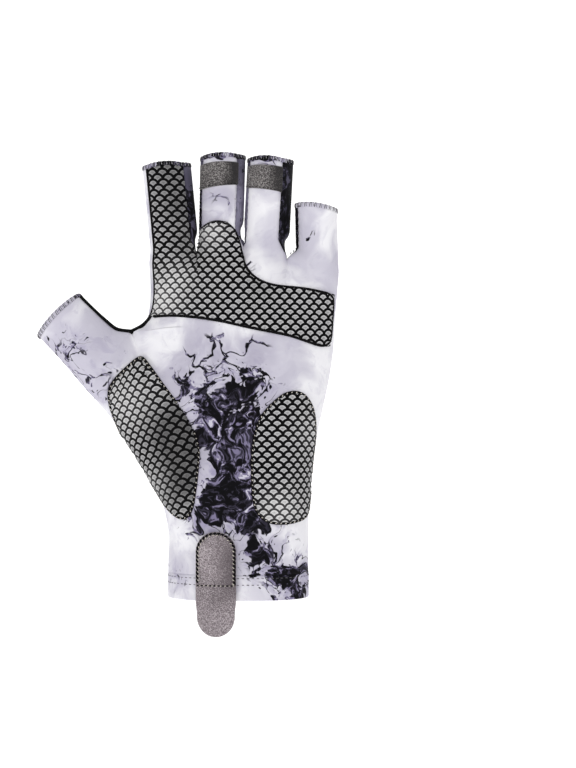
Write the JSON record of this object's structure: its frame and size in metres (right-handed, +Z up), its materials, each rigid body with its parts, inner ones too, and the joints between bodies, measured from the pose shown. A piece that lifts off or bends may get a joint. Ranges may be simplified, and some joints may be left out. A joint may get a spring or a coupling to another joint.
{
  "type": "fishing glove",
  "caption": "Left-hand fingerless fishing glove in printed stretch cloth, with scale-patterned palm grips, finger pull bands and a pull tab at the cuff, filled out as worn.",
  "frame": {"origin": "Middle of the wrist opening, in the plane of the cuff's edge. A wearer's forearm comes in here.", "axes": "+Z runs up the hand from the cuff to the fingertips, +X from the thumb to the little finger, and the palm faces -Y."},
  "size_m": [0.1411, 0.0506, 0.2257],
  "materials": {
    "printed_cloth": "smooth knitted stretch cloth with a marbled print in white, pale lavender and black",
    "side_cloth": "dark printed stretch cloth between the fingers",
    "white_cloth": "plain white stretch cloth",
    "grip": "grey microfibre under a raised black silicone net in a fish-scale pattern",
    "suede": "grey brushed microfibre suede",
    "binding": "grey overlocked thread edge",
    "piping": "black cord"
  },
  "bodies": {
    "root": {"palm_panel": "printed_cloth", "back_panel": "printed_cloth", "wrist_hem": "printed_cloth", "index_side_strip": "white_cloth", "thumb_gusset": "suede", "index_middle_fourchette": "side_cloth", "middle_ring_fourchette": "side_cloth", "ring_little_fourchette": "side_cloth", "thumb_binding": "binding", "index_binding": "binding", "middle_binding": "binding", "ring_binding": "binding", "little_binding": "binding", "crotch_piping": "piping", "palm_grip": "grip", "thumb_grip": "grip", "heel_grip": "grip", "middle_pull_band": "suede", "ring_pull_band": "suede", "pull_tab": "suede"}
  },
  "joints": []
}
